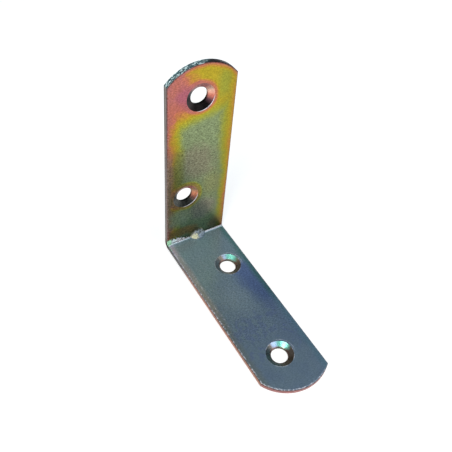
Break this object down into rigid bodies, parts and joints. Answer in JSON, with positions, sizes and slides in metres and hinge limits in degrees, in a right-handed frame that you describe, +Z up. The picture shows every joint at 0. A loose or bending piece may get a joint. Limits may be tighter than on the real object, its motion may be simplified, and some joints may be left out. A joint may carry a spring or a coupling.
{
  "type": "reinforced angle bracket",
  "caption": "Flat steel strip folded to a right angle, with rounded ends, countersunk screw holes in both arms and a gusset pressed into the fold to stiffen it.",
  "frame": {"origin": "middle of the footprint, on the ground under the foot", "axes": "+X along the foot, away from the upright arm; +Z up the upright arm; Y across the strip"},
  "size_m": [0.06, 0.019, 0.06],
  "materials": {
    "plated_steel": "yellow chromate over zinc, iridescent gold, rose and blue-green, semi-gloss with a fine grain"
  },
  "bodies": {
    "root": {"angle_bracket": "plated_steel"}
  },
  "joints": []
}
